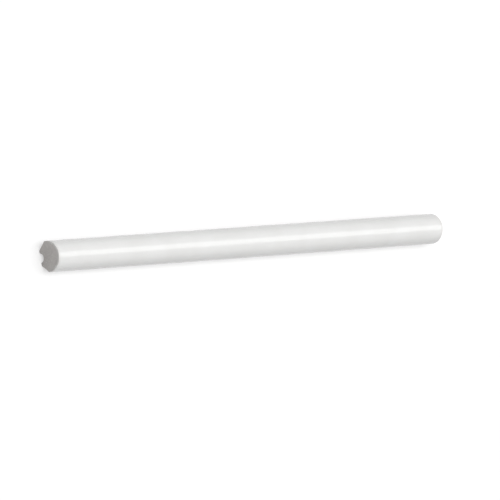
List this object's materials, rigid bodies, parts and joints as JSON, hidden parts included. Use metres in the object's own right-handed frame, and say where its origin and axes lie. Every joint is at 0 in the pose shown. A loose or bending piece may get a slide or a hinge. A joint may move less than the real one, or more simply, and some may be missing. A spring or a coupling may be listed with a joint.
{
  "type": "ceramic tile trim",
  "caption": "Slender glazed ceramic bead with a rounded face, square grout bevels and a hollow back; finishes the outside corner or edge of a tiled wall.",
  "frame": {"origin": "midway along the piece, on the plane of the two back lands, midway between them", "axes": "+X along the length, towards the end that is further away in the picture; +Y across the face; +Z from the back lands to the crest of the glazed face"},
  "size_m": [0.3048, 0.016, 0.0127],
  "materials": {
    "glazed_ceramic": "white gloss glaze over the face and arrises, bare pale grey body on bevels, lands, hollow and ends"
  },
  "bodies": {
    "root": {"quarter_round_trim": "glazed_ceramic"}
  },
  "joints": []
}
